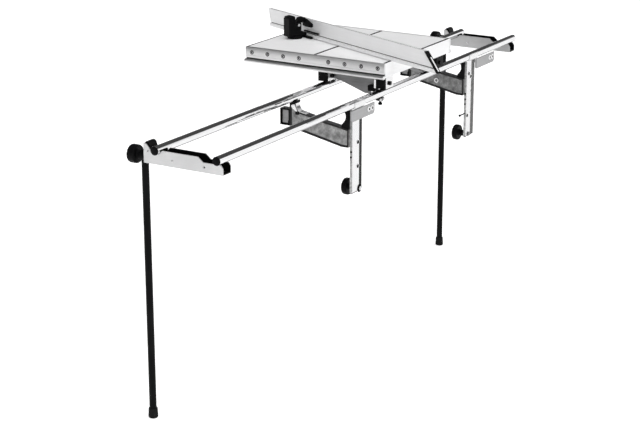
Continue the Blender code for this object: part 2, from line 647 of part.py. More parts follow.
def main():
    frame = empty("frame", at=(-RAIL_LENGTH / 2, -(BOX_LOW_Y + BOX_HIGH_Y) / 2, 0))
    build_rail("rail_inner", 0, frame)
    build_rail("rail_outer", RAIL_GAUGE, frame)
    for end, is_rear in (("front", False), ("rear", True)):
        build_plug(f"rail_plug_inner_{end}", 0, is_rear, frame)
        build_plug(f"rail_plug_outer_{end}", RAIL_GAUGE, is_rear, frame)
        build_bracket(f"end_bracket_{end}", is_rear, frame)
        build_end_block(f"end_block_{end}", is_rear, frame)
        build_leg(end, is_rear, frame)
    for end, x, stud, plate in HANGERS:
        build_hanger(end, x, stud, plate, frame)
    build_table(frame)
    pivot = empty("mitre_pivot", frame, (PIVOT_X, PIVOT_Y, 0), FENCE_SWIVEL)
    build_fence(pivot)
    build_mitre_head(pivot)
    bpy.context.view_layer.update()


clear_scene()
STEEL = make_material("chromed_steel", (0.80, 0.80, 0.82), 0.12, 1.0)
ALUMINIUM = make_material("aluminium", (0.86, 0.86, 0.87), 0.32, 1.0)
CAST_ALUMINIUM = make_material("cast_aluminium", (0.42, 0.42, 0.43), 0.55, 0.9)
SHEET_STEEL = make_material("sheet_steel", (0.30, 0.30, 0.31), 0.45, 0.9)
BLACK_STEEL = make_material("black_steel", (0.012, 0.012, 0.013), 0.35, 0.0)
BLACK_PLASTIC = make_material("black_plastic", (0.010, 0.010, 0.011), 0.45, 0.0)
RUBBER = make_material("rubber", (0.015, 0.015, 0.015), 0.75, 0.0)
main()
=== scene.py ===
"""The looks of the sliding table attachment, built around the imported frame."""

import json
import math

import bmesh
import bpy
from mathutils import Matrix, Vector

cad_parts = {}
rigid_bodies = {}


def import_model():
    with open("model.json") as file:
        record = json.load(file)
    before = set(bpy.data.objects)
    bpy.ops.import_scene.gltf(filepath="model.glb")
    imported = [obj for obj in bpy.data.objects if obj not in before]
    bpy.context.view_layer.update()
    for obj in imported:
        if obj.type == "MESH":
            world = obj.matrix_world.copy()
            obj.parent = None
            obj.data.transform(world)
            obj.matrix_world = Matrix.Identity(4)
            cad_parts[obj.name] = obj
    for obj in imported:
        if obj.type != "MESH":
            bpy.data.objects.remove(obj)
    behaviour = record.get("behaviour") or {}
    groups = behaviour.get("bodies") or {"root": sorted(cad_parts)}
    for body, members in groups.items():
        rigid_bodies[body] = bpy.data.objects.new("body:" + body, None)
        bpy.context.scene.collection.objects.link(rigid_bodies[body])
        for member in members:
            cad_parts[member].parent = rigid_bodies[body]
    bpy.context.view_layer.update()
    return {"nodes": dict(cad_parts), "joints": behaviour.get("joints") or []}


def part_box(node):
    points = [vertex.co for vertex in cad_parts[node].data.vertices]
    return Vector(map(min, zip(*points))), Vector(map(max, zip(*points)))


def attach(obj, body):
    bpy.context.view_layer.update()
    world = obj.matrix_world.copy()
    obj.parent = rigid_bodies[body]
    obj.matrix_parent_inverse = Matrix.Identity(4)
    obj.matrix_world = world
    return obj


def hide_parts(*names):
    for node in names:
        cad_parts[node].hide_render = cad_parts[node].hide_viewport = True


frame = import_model()
nodes = frame["nodes"]

# Places come from the frame: x = 0 at the rails' front end, y = 0 on the inner rail's axis, z = 0 on the floor
RAIL_LOW, RAIL_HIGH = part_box("rail_inner")
ORIGIN = Vector((RAIL_LOW.x, (RAIL_LOW.y + RAIL_HIGH.y) / 2, 0))
LENGTH = RAIL_HIGH.x - RAIL_LOW.x
JOINTS = {j["name"]: j for j in frame["joints"]}
PIVOT = Vector(JOINTS["mitre_swivel"]["pos_m"])
ALONG = Vector(JOINTS["fence_slide"]["axis"])
SWIVEL = math.atan2(ALONG.y, ALONG.x) - math.pi / 2
TO_PIVOT = Matrix.Translation((PIVOT.x, PIVOT.y, 0)) @ Matrix.Rotation(SWIVEL, 4, "Z")
TO_FRAME = Matrix.Translation(ORIGIN)
RAIL_Z = 0.800  # the rails' axes above the floor
OUTER_Y = 0.200  # the outer rail's axis from the inner one
ENDS = ("front", "rear")


def low(node):
    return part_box(node)[0] - ORIGIN


def high(node):
    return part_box(node)[1] - ORIGIN


# Materials

def new_material(name):
    made = bpy.data.materials.new(name)
    made.use_nodes = True
    return made, made.node_tree.nodes, made.node_tree.links, made.node_tree.nodes["Principled BSDF"]


def place(tree, scale, turn=0.0):
    """Object coordinates, stretched and turned about Z."""
    coords = tree.nodes.new("ShaderNodeTexCoord")
    mapping = tree.nodes.new("ShaderNodeMapping")
    mapping.vector_type = "POINT"
    turned_by = tree.nodes.new("ShaderNodeVectorRotate")
    turned_by.rotation_type = "Z_AXIS"
    turned_by.inputs["Angle"].default_value = -turn
    tree.links.new(coords.outputs["Object"], turned_by.inputs["Vector"])
    tree.links.new(turned_by.outputs["Vector"], mapping.inputs["Vector"])
    mapping.inputs["Scale"].default_value = scale
    return mapping.outputs["Vector"]


def noise(tree, vector, scale, detail=3.0, rough=0.6):
    made = tree.nodes.new("ShaderNodeTexNoise")
    made.inputs["Scale"].default_value = scale
    made.inputs["Detail"].default_value = detail
    made.inputs["Roughness"].default_value = rough
    tree.links.new(vector, made.inputs["Vector"])
    return made.outputs["Fac"]


def ramp(tree, value, stops):
    """A colour ramp from (position, grey or colour) stops."""
    made = tree.nodes.new("ShaderNodeValToRGB")
    line = made.color_ramp
    while len(line.elements) < len(stops):
        line.elements.new(0.5)
    for element, (position, colour) in zip(line.elements, stops):
        element.position = position
        element.color = (*colour, 1) if isinstance(colour, tuple) else (colour, colour, colour, 1)
    tree.links.new(value, made.inputs["Fac"])
    return made.outputs["Color"]


def blend_colours(tree, fac, a, b, mode="MIX"):
    made = tree.nodes.new("ShaderNodeMix")
    made.data_type = "RGBA"
    made.blend_type = mode
    for socket, value in ((made.inputs[0], fac), (made.inputs[6], a), (made.inputs[7], b)):
        if isinstance(value, bpy.types.NodeSocket):
            tree.links.new(value, socket)
        else:
            socket.default_value = value if isinstance(value, (int, float)) else (*value, 1)
    return made.outputs[2]


def bump(tree, shader, height, strength, distance):
    made = tree.nodes.new("ShaderNodeBump")
    made.inputs["Strength"].default_value = strength
    made.inputs["Distance"].default_value = distance
    tree.links.new(height, made.inputs["Height"])
    tree.links.new(made.outputs["Normal"], shader.inputs["Normal"])


def maths(tree, operation, *values):
    made = tree.nodes.new("ShaderNodeMath")
    made.operation = operation
    for socket, value in zip(made.inputs, values):
        if isinstance(value, bpy.types.NodeSocket):
            tree.links.new(value, socket)
        else:
            socket.default_value = value
    return made.outputs[0]


def within(tree, bounds):
    """1 inside a box of object coordinates, 0 outside. bounds holds (axis, low, high) rows in world metres."""
    split = tree.nodes.new("ShaderNodeSeparateXYZ")
    coords = tree.nodes.new("ShaderNodeTexCoord")
    tree.links.new(coords.outputs["Object"], split.inputs[0])
    result = None
    for axis, lowest, highest in bounds:
        value = split.outputs["XYZ".index(axis)]
        for test in (maths(tree, "GREATER_THAN", value, lowest), maths(tree, "LESS_THAN", value, highest)):
            result = test if result is None else maths(tree, "MULTIPLY", result, test)
    return result


def facing(tree, low_edge, high_edge):
    """0 to 1 as a face turns from the lower to the higher upward slope."""
    geometry = tree.nodes.new("ShaderNodeNewGeometry")
    split = tree.nodes.new("ShaderNodeSeparateXYZ")
    tree.links.new(geometry.outputs["Normal"], split.inputs[0])
    made = tree.nodes.new("ShaderNodeMapRange")
    made.inputs["From Min"].default_value = low_edge
    made.inputs["From Max"].default_value = high_edge
    tree.links.new(split.outputs["Z"], made.inputs["Value"])
    return made.outputs["Result"]


def brushed(name, colour, roughness, scale, turn=0.0, contrast=0.06, metallic=1.0, blotch=0.03):
    """Drawn or brushed metal: fine streaks along one direction, and faint blotches."""
    made, _, links, shader = new_material(name)
    tree = made.node_tree
    streaks = noise(tree, place(tree, scale, turn), 1.0, 5.0, 0.65)
    spots = noise(tree, place(tree, (9, 9, 9)), 1.0, 4.0)
    dark = tuple(c * (1 - contrast) for c in colour)
    tone = blend_colours(tree, ramp(tree, streaks, [(0.3, 0.0), (0.7, 1.0)]), dark, colour)
    veil = ramp(tree, spots, [(0.35, 1 - blotch), (0.65, 1.0)])
    links.new(blend_colours(tree, 1.0, tone, veil, "MULTIPLY"), shader.inputs["Base Color"])
    gloss = ramp(tree, streaks, [(0.25, roughness * 0.8), (0.75, roughness * 1.25)])
    links.new(gloss, shader.inputs["Roughness"])
    shader.inputs["Metallic"].default_value = metallic
    bump(tree, shader, streaks, 0.12, 0.0002)
    return made


def moulded(name, colour, roughness, grain, strength, worn=1.6):
    """Moulded plastic, rubber or powder coat: fine grain, and paler rubbed patches."""
    made, _, links, shader = new_material(name)
    tree = made.node_tree
    fine = noise(tree, place(tree, (grain, grain, grain)), 1.0, 2.0)
    large = noise(tree, place(tree, (18, 18, 18)), 1.0, 5.0)
    pale = tuple(min(1.0, c * worn + 0.002) for c in colour)
    tone = blend_colours(tree, ramp(tree, large, [(0.45, 0.0), (0.75, 1.0)]), colour, pale)
    links.new(tone, shader.inputs["Base Color"])
    links.new(ramp(tree, large, [(0.3, roughness), (0.75, roughness * 1.3)]), shader.inputs["Roughness"])
    shader.inputs["Specular IOR Level"].default_value = 0.07
    bump(tree, shader, fine, strength, 0.0002)
    return made


def chromed(name):
    """Mirror chrome on drawn tube: faint draw lines, fingermarks in the gloss and a painted dark reflection on the
    lower faces.
    """
    colour, painted_reflection_grey, roughness = (0.93, 0.93, 0.94), (0.20, 0.20, 0.205), 0.045
    made, _, links, shader = new_material(name)
    tree = made.node_tree
    lines = noise(tree, place(tree, (2, 260, 260)), 1.0, 3.0)
    marks = noise(tree, place(tree, (14, 30, 30)), 1.0, 6.0)
    links.new(ramp(tree, marks, [(0.40, roughness), (0.62, roughness * 1.5), (0.80, roughness * 2.6)]),
              shader.inputs["Roughness"])
    tone = ramp(tree, marks, [(0.3, colour), (0.8, tuple(c * 0.95 for c in colour))])
    # Painted dark reflection: faces that look downwards blend to dark grey.
    painted_reflection_below = facing(tree, -0.54, -0.44)
    links.new(blend_colours(tree, painted_reflection_below, painted_reflection_grey, tone), shader.inputs["Base Color"])
    shader.inputs["Metallic"].default_value = 1.0
    bump(tree, shader, lines, 0.03, 0.0001)
    return made


def cast_metal(name):
    """Rough grey casting: mottled tone, sand-cast grain, a painted dark reflection on upward faces; the rear one
    is darker, as painted shade.
    """
    # Painted shade: the rear casting's tones are scaled darker than the front's.
    deep = 0.62 if "rear" in name else 0.92
    made, _, links, shader = new_material(name)
    tree = made.node_tree
    mottle = noise(tree, place(tree, (55, 55, 55)), 1.0, 8.0, 0.7)
    grain = noise(tree, place(tree, (900, 900, 900)), 1.0, 2.0)
    tone = ramp(tree, mottle, [(0.34, 0.17 * deep), (0.50, 0.32 * deep), (0.66, 0.54 * deep)])
    # Painted dark reflection: faces that look upwards blend to near black.
    upward = facing(tree, 0.35, 0.75)
    links.new(blend_colours(tree, upward, tone, (0.055, 0.055, 0.058)), shader.inputs["Base Color"])
    links.new(ramp(tree, mottle, [(0.3, 0.42), (0.7, 0.62)]), shader.inputs["Roughness"])
    shader.inputs["Metallic"].default_value = 0.35
    bump(tree, shader, maths(tree, "ADD", mottle, maths(tree, "MULTIPLY", grain, 0.4)), 0.35, 0.0006)
    return made


def masked(name, base_maker, patches):
    """A metal with other tones inside given boxes: painted shade and painted reflections, as inside a channel or
    on a set-back strip.
    """
    made = base_maker(name)
    tree = made.node_tree
    shader = tree.nodes["Principled BSDF"]
    colour = shader.inputs["Base Color"].links[0].from_socket
    metal = shader.inputs["Metallic"].default_value
    mottle = noise(tree, place(tree, (160, 160, 160)), 1.0, 5.0)
    for tone, bounds in patches:
        mask = within(tree, bounds)
        patch = ramp(tree, mottle, [(0.35, tone * 0.6), (0.7, tone * 1.5)])
        colour = blend_colours(tree, mask, colour, patch)
        metal = maths(tree, "SUBTRACT", metal, mask)
    tree.links.new(colour, shader.inputs["Base Color"])
    metallic = tree.nodes.new("ShaderNodeClamp")
    tree.links.new(metal, metallic.inputs["Value"])
    tree.links.new(metallic.outputs["Result"], shader.inputs["Metallic"])
    shader.inputs["Specular IOR Level"].default_value = 0.15
    return made


def bracket_patches(node):
    """Painted shade inside the folded channel."""
    lowest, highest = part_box(node)
    wall = 0.0029  # the sheet's thickness less a hair
    inside = [("X", lowest.x + wall, highest.x - wall), ("Y", lowest.y - 0.01, highest.y - wall),
              ("Z", lowest.z + 0.0005, highest.z + 0.1)]
    # Near-black painted shade over the channel's inner faces and floor.
    return [(0.003, inside)]


def arm_patches(node):
    """Painted shade on the border round the casting's outer face, and a painted shadow beneath the rail."""
    lowest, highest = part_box(node)
    wide = ("Y", lowest.y - 0.01, highest.y + 0.01)
    # Painted shadow: above this height, where the rail's shade falls, the casting turns near black.
    painted_shadow_z = 0.7790
    # Painted shade along the border of the casting's outer face.
    painted_rim_shade = [("X", lowest.x - 0.01, lowest.x + 0.0042), wide, ("Z", 0.0, painted_shadow_z)]
    painted_rail_shadow = [("X", lowest.x - 0.01, highest.x + 0.01), wide, ("Z", painted_shadow_z, 0.82)]
    return [(0.02, painted_rim_shade), (0.010, painted_rail_shadow)]


def post_patches(node):
    """Painted tones of a post: a painted dark reflection on the set-back strip, painted shade on the folded front
    edge and painted shade at the foot.
    """
    lowest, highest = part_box(node)
    front = node.endswith("front")
    deep = ("Y", lowest.y - 0.01, highest.y + 0.01)
    face_width, foot_z = (0.0415 if front else 0.0335), lowest.z + 0.0024
    upright = ("Z", foot_z, 0.7847)
    # Painted dark reflection along the set-back strip; the rear post's is lighter.
    strip = [("X", lowest.x + face_width, highest.x + 0.01), deep, upright]
    # Painted shade on the folded front edge.
    painted_shade_edge = [("X", lowest.x - 0.01, lowest.x + 0.0006), deep, upright]
    # Painted shade at the post's foot.
    foot = [("X", lowest.x - 0.01, highest.x + 0.01), deep, ("Z", lowest.z - 0.01, foot_z)]
    return [(0.010 if front else 0.12, strip), (0.42, painted_shade_edge), (0.004, foot)]


CHROME = chromed("rail_chrome")
CHEEK = brushed("cheek_bright", (0.95, 0.95, 0.955), 0.30, (300, 300, 300), contrast=0.05, metallic=0.5)
ZINC = brushed("zinc_plate", (0.74, 0.74, 0.75), 0.22, (300, 300, 300), contrast=0.12)
TOP = brushed("table_brushed", (0.97, 0.97, 0.975), 0.50, (900, 5, 900), contrast=0.05, metallic=0.05)
PROFILE = brushed("profile_satin", (0.90, 0.90, 0.905), 0.36, (500, 6, 500), contrast=0.07)
FENCE_METAL = brushed("fence_satin", (0.91, 0.91, 0.915), 0.48, (700, 5, 700), SWIVEL, contrast=0.06, metallic=0.3)
PLATE = brushed("plate_brushed", (0.50, 0.50, 0.505), 0.34, (8, 700, 700), contrast=0.14, blotch=0.10)
POLISHED = brushed("polished_strip", (0.93, 0.93, 0.935), 0.20, (700, 700, 6), contrast=0.05)
SHEET = brushed("sheet_steel", (0.36, 0.36, 0.365), 0.42, (240, 6, 240), contrast=0.30, blotch=0.20)
CAST = cast_metal("cast_grey")
BLACK = moulded("black_moulded", (0.003, 0.003, 0.0033), 0.34, 1500, 0.10)
COAT = moulded("black_powder_coat", (0.003, 0.003, 0.0033), 0.30, 2200, 0.14)
RUBBER = moulded("foot_rubber", (0.010, 0.010, 0.010), 0.62, 1100, 0.25, worn=2.2)
# Near black for painted shade in slots, sockets, holes and gaps.
SHADOW_GAP_BLACK = moulded("shadow_gap", (0.003, 0.003, 0.003), 0.7, 900, 0.1)


def satin(name):
    # Painted shade: the rear bracket is toned darker than the front one.
    tone = 0.78 if "front" in name else 0.62
    return brushed(name, (tone, tone, tone * 1.005), 0.36, (500, 8, 500), contrast=0.10, blotch=0.10)


def strip(name):
    return brushed(name, (0.93, 0.93, 0.935), 0.24, (700, 700, 6), contrast=0.05)


def masked_pair(kind, base_maker, patches_of):
    """The front and rear nodes of a kind, each with its own patched metal."""
    made_for = [f"{kind}_{end}" for end in ENDS]
    return {node: masked(f"{node}_metal", base_maker, patches_of(node)) for node in made_for}


BRACKETS = masked_pair("end_bracket", satin, bracket_patches)
CASTINGS = masked_pair("support_arm", cast_metal, arm_patches)
POSTS = masked_pair("hanger_post", strip, post_patches)


# Mesh code

def along(axis, a, b, c):
    """The point with a and b across an axis and c along it."""
    return {"X": (c, a, b), "Y": (a, c, b), "Z": (a, b, c)}[axis]


def prism(outline, axis, start, end):
    """A flat outline drawn out along an axis."""
    bm = bmesh.new()
    face = bm.faces.new([bm.verts.new(along(axis, a, b, start)) for a, b in outline])
    grown = bmesh.ops.extrude_face_region(bm, geom=[face])
    moved = [v for v in grown["geom"] if isinstance(v, bmesh.types.BMVert)]
    bmesh.ops.translate(bm, vec=Vector(along(axis, 0, 0, end - start)), verts=moved)
    bm.normal_update()
    bmesh.ops.recalc_face_normals(bm, faces=bm.faces)
    return bm


def block(x, y, z):
    return prism([(x[0], y[0]), (x[1], y[0]), (x[1], y[1]), (x[0], y[1])], "Z", *z)


def turned(profile, centre, axis, sides):
    """A closed solid spun from (radius, height) rows about an axis."""
    bm = bmesh.new()
    verts = [bm.verts.new((r, 0, h)) for r, h in profile]
    edges = [bm.edges.new(pair) for pair in zip(verts, verts[1:])]
    if profile[0][0] > 0:
        edges.append(bm.edges.new((verts[-1], verts[0])))
    bmesh.ops.spin(bm, geom=verts + edges, cent=(0, 0, 0), axis=(0, 0, 1), angle=math.tau, steps=sides,
                   use_merge=True)
    bmesh.ops.remove_doubles(bm, verts=bm.verts, dist=1e-6)
    for v in bm.verts:
        a, b, h = v.co
        v.co = Vector(centre) + Vector(along(axis, a, b, h))
    bm.normal_update()
    bmesh.ops.recalc_face_normals(bm, faces=bm.faces)
    return bm


def joined(shapes):
    whole = bmesh.new()
    for shape in shapes:
        mesh = bpy.data.meshes.new("part")
        shape.to_mesh(mesh)
        shape.free()
        whole.from_mesh(mesh)
        bpy.data.meshes.remove(mesh)
    return whole


def soften(obj, width, weld=False):
    """Round the sharp edges, once the CAD mesh's split corners are welded."""
    if weld:
        merge = obj.modifiers.new("weld", "WELD")
        merge.merge_threshold = 0.00002
    bevel = obj.modifiers.new("edges", "BEVEL")
    bevel.width = width
    bevel.segments = 2
    bevel.limit_method = "ANGLE"
    bevel.angle_limit = math.radians(38)
    bevel.harden_normals = True
    bevel.use_clamp_overlap = True


def piece(name, shape, material, body, matrix=TO_FRAME, bevel=0.0004, replaced=()):
    """A visible piece in the frame's design coordinates, riding on a body."""
    mesh = bpy.data.meshes.new(name)
    shape.to_mesh(mesh)
    shape.free()
    mesh.transform(matrix)
    mesh.shade_smooth()
    mesh.set_sharp_from_angle(angle=math.radians(35))
    made = bpy.data.objects.new(name, mesh)
    bpy.context.scene.collection.objects.link(made)
    mesh.materials.append(material)
    if bevel:
        soften(made, bevel)
    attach(made, body)
    if replaced:
        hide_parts(*replaced)


def screw_head(centre, axis, radius, height, sign, recess=0.5):
    """A pan head with a hexagon socket, standing out of a face along an axis."""
    inner = radius * recess
    profile = [(0, height * 0.35), (inner, height * 0.35), (inner * 1.04, height * 0.95), (radius * 0.72, height)]
    profile += [(radius * 0.94, height * 0.78), (radius, height * 0.45), (radius, -0.0004), (0, -0.0004)]
    return turned([(r, sign * h) for r, h in profile], centre, axis, 18)


def washer(centre, axis, inner, outer, thickness, sign):
    return turned([(inner, 0), (outer, 0), (outer, sign * thickness), (inner, sign * thickness)], centre, axis, 24)


def hexagon(centre, axis, across, start, end):
    """A six-sided block, by its size across the flats."""
    r = across / math.sqrt(3)
    return turned([(0, start), (r, start), (r, end), (0, end)], centre, axis, 6)


# CAD nodes that stay, with their materials and softened edges

def dress(prefixes, material, width):
    for name, obj in nodes.items():
        if name.startswith(prefixes):
            obj.data.materials.clear()
            obj.data.materials.append(material if not isinstance(material, dict) else material[name])
            if width:
                soften(obj, width, weld=True)


dress(("rail_inner", "rail_outer"), CHROME, 0.0)
dress(("leg_bolt", "clamp_stud", "mitre_pin", "lever_pin"), ZINC, 0.0003)
dress(("roller_axle",), COAT, 0.0004)
dress(("table_panel",), TOP, 0.0004)
dress(("mounting_plate",), PLATE, 0.0004)
dress(("axle_plate_front",), POLISHED, 0.0004)
dress(("axle_plate_rear",), COAT, 0.0004)
dress(("cross_plate",), SHEET, 0.0003)
dress(("end_bracket",), BRACKETS, 0.0006)
dress(("hanger_post",), POSTS, 0.0004)
dress(("rail_plug", "end_block", "leg_head", "rail_column"), BLACK, 0.0007)
dress(("roller_housing", "track_roller", "mitre_base"), BLACK, 0.0007)
dress(("leg_knob", "clamp_knob", "mitre_head", "mitre_lever"), BLACK, 0.0009)
dress(("leg_tube", "arm_clip"), COAT, 0.0005)
dress(("leg_foot",), RUBBER, 0.0006)

def local_box(node):
    """A node's corners in the mitre pivot's own frame."""
    back = TO_PIVOT.inverted()
    points = [back @ v.co for v in nodes[node].data.vertices]
    return [(min(p[i] for p in points), max(p[i] for p in points)) for i in range(3)]


# Edge profiles of the table, with their screws

MIDDLE = (low("table_panel_outer").y + high("table_panel_inner").y) / 2
FIRST_SCREW, SCREW_PITCH = 0.0525, 0.0575
SCREW_ROWS = sorted(MIDDLE + side * (FIRST_SCREW + SCREW_PITCH * k) for k in range(4) for side in (-1, 1))


def profile_outline(face, sign):
    """Crowned top corner, a scribed line, an open T-slot and a rounded, ribbed lower lip."""
    top = high("front_profile").z
    bottom = low("front_profile").z
    rows = [(0.0075, bottom), (-0.0065, bottom), (-0.0088, bottom + 0.0006), (-0.0099, bottom + 0.0026)]
    rows += [(-0.0099, bottom + 0.0064), (-0.0088, bottom + 0.0090), (-0.0070, bottom + 0.0100)]
    rows += [(-0.0052, bottom + 0.0100), (-0.0048, bottom + 0.0092), (-0.0034, bottom + 0.0092)]
    rows += [(-0.0030, bottom + 0.0104), (-0.0004, bottom + 0.0112), (0.0012, bottom + 0.0112)]
    rows += [(0.0012, bottom + 0.0092), (0.0048, bottom + 0.0092), (0.0048, bottom + 0.0168)]
    rows += [(0.0012, bottom + 0.0168), (0.0012, bottom + 0.0146), (0, bottom + 0.0146)]
    rows += [(0, bottom + 0.0214), (0.0008, bottom + 0.0217), (0.0008, bottom + 0.0226), (0, bottom + 0.0229)]
    rows += [(0, top - 0.0010), (0.0003, top - 0.0003), (0.0010, top), (0.0075, top)]
    return [(face + sign * a, z) for a, z in rows]


def build_profiles():
    for end, sign in (("front", 1), ("rear", -1)):
        node = f"{end}_profile"
        lowest, highest = low(node), high(node)
        face = lowest.x + 0.010 if sign > 0 else highest.x - 0.010
        bar = prism(profile_outline(face, sign), "Y", lowest.y, highest.y)
        piece(f"edge_profile_{end}", bar, PROFILE, "table", bevel=0.0002, replaced=(node,))
        inside = sorted((face + sign * 0.0020, face + sign * 0.0046))
        slot = block(inside, (lowest.y + 0.0015, highest.y - 0.0015), (lowest.z + 0.0095, lowest.z + 0.0165))
        piece(f"slot_shadow_{end}", slot, SHADOW_GAP_BLACK, "table", bevel=0)
        z = highest.z - 0.0165
        seats = [washer((face, y, z), "X", 0.0040, 0.0068, 0.0003, -sign) for y in SCREW_ROWS]
        piece(f"profile_screw_seats_{end}", joined(seats), SHADOW_GAP_BLACK, "table", bevel=0)
        heads = [screw_head((face, y, z), "X", 0.0044, 0.0017, -sign, 0.62) for y in SCREW_ROWS]
        piece(f"profile_screws_{end}", joined(heads), ZINC, "table", bevel=0)
        sockets = [hexagon((face, y, z), "X", 0.0052, -sign * 0.0002, -sign * 0.0009) for y in SCREW_ROWS]
        piece(f"profile_screw_sockets_{end}", joined(sockets), SHADOW_GAP_BLACK, "table", bevel=0)


def build_table_lines():
    """Dark seals let into the table's two long edges and the joint between its panels."""
    top = high("table_panel_inner").z
    x = (low("table_panel_inner").x + 0.0004, high("table_panel_inner").x - 0.0004)
    outer = high("table_panel_outer").y
    inner = low("table_panel_inner").y
    rows = {"outer": (outer - 0.0060, outer - 0.0006), "inner": (inner + 0.0010, inner + 0.0090),
            "middle": (MIDDLE - 0.0042, MIDDLE + 0.0042)}
    for name, y in rows.items():
        seal = block(x, y, (top - 0.0004, top + 0.00015))
        piece(f"panel_seal_{name}", seal, SHADOW_GAP_BLACK, "table", bevel=0)


# Hangers

def arm_piece(end):
    """The casting, with its face sunk between thick upper and lower rims."""
    node = f"support_arm_{end}"
    lowest, highest = low(node), high(node)
    start, far = lowest.y, highest.y
    line = [(start, 0.6710), (0.028, 0.6710), (0.090, 0.6838), (0.150, 0.6963), (far, 0.7085), (far, 0.780)]
    saddle, first, swept, steps = 0.0128, 302, 66, 6
    for i in range(steps + 1):
        angle = math.radians(first - swept * i / steps)
        line.append((OUTER_Y + saddle * math.cos(angle), RAIL_Z + saddle * math.sin(angle)))
    line += [(0.1885, 0.7800), (0.1855, 0.7700), (0.1810, 0.7620), (0.1750, 0.7585), (0.1680, 0.7570)]
    line += [(0.138, 0.7518), (0.087, 0.7395), (0.028, 0.7303), (start, 0.7255)]
    body = prism(line, "X", lowest.x, highest.x)
    for side in (-1, 1):
        face = [f for f in body.faces if f.normal.x * side > 0.9 and len(f.verts) > 8]
        bmesh.ops.inset_region(body, faces=face, thickness=0.0062, depth=-0.0045 if side < 0 else -0.0080,
                               use_even_offset=True)
    piece(f"arm_casting_{end}", body, CASTINGS[node], "root", bevel=0.0008, replaced=(node,))


def strap_piece(end):
    """The bright strap that lies over the arm's rise and cradles the outer rail, and its dark pad."""
    node = f"support_arm_{end}"
    x = (low(node).x + 0.002, high(node).x - 0.003)
    rise = [(0.1500, 0.7546), (0.1680, 0.7577), (0.1752, 0.7592), (0.1812, 0.7630), (0.1850, 0.7700)]
    rise += [(0.1876, 0.7790), (0.1872, 0.7845)]
    under = [(y + 0.0006, z - 0.0004) for y, z in rise]
    over = [(y - 0.0013, z + 0.0012) for y, z in reversed(rise)]
    piece(f"saddle_strap_{end}", prism(under + over, "X", *x), POLISHED, "root", bevel=0.0002)
    pad = [(0.1871, 0.7830), (0.1914, 0.7885), (0.1891, 0.7900), (0.1858, 0.7925), (0.1832, 0.7890)]
    pad += [(0.1848, 0.7850)]
    piece(f"saddle_pad_{end}", prism(pad, "X", *x), RUBBER, "root", bevel=0.0004)


def post_details(end):
    """The clamp's nut and its seat, the post's eyelets with painted shade in their holes, and the screws in its
    front edge.
    """
    post = low(f"hanger_post_{end}")
    web = post.y if post.y > -0.0045 else -0.004
    stud_low, stud_high = low(f"clamp_stud_{end}"), high(f"clamp_stud_{end}")
    axis = ((stud_low.x + stud_high.x) / 2, 0, (stud_low.z + stud_high.z) / 2)
    nut = hexagon(axis, "Y", 0.0130, web - 0.0038, web - 0.0012)
    seat = hexagon(axis, "Y", 0.0240 if end == "front" else 0.0110, web - 0.0009, web - 0.0001)
    nut_metal = ZINC if end == "front" else CAST
    piece(f"clamp_nut_{end}", nut, nut_metal, f"clamp_{end}", bevel=0.0004)
    piece(f"clamp_nut_seat_{end}", seat, SHADOW_GAP_BLACK, "root", bevel=0.0001)
    spots = [(post.x + 0.034, 0.605), (post.x + 0.034, 0.680)]
    if end == "rear":
        spots = [(post.x + 0.0095, 0.599), (post.x + 0.0150, 0.7420), (post.x + 0.0300, 0.7300)]
    rings = [washer((x, web, z), "Y", 0.0058, 0.0086, 0.0006, -1) for x, z in spots]
    piece(f"post_eyelets_{end}", joined(rings), POLISHED, "root", bevel=0.0002)
    # Painted shade: a near-black disc fills each eyelet's hole.
    plug = [(0, -0.0009), (0.0057, -0.0009), (0.0057, 0.001), (0, 0.001)]
    hole_shade_discs = [turned(plug, (x, web, z), "Y", 16) for x, z in spots]
    piece(f"post_hole_shade_{end}", joined(hole_shade_discs), SHADOW_GAP_BLACK, "root", bevel=0)
    screws = [screw_head((post.x, 0, z), "X", 0.0032, 0.0034, -1) for z in (0.640, 0.656)]
    if end == "rear":
        pin = [(0, -0.0410), (0.0030, -0.0410), (0.0038, -0.0400), (0.0038, -0.0360), (0.0020, -0.0350)]
        pin += [(0.0020, 0.0), (0, 0)]
        screws.append(turned(pin, (post.x, 0, 0.608), "X", 16))
        screws.append(screw_head((post.x, 0, 0.675), "X", 0.0032, 0.0034, -1))
    piece(f"post_edge_screws_{end}", joined(screws), COAT, "root", bevel=0)


def plate_details(end):
    """The two screws of the plate that lies on the saw's edge."""
    edge, face = high(f"mounting_plate_{end}").x, low(f"mounting_plate_{end}").y
    places = [(edge - inset, face, 0.770) for inset in (0.017, 0.036)]
    heads = [screw_head(place_at, "Y", 0.0082, 0.0030, -1) for place_at in places]
    piece(f"plate_screws_{end}", joined(heads), CHEEK, "root", bevel=0)
    sockets = [hexagon(place_at, "Y", 0.0076, -0.0004, -0.0024) for place_at in places]
    piece(f"plate_screw_sockets_{end}", joined(sockets), SHADOW_GAP_BLACK, "root", bevel=0)


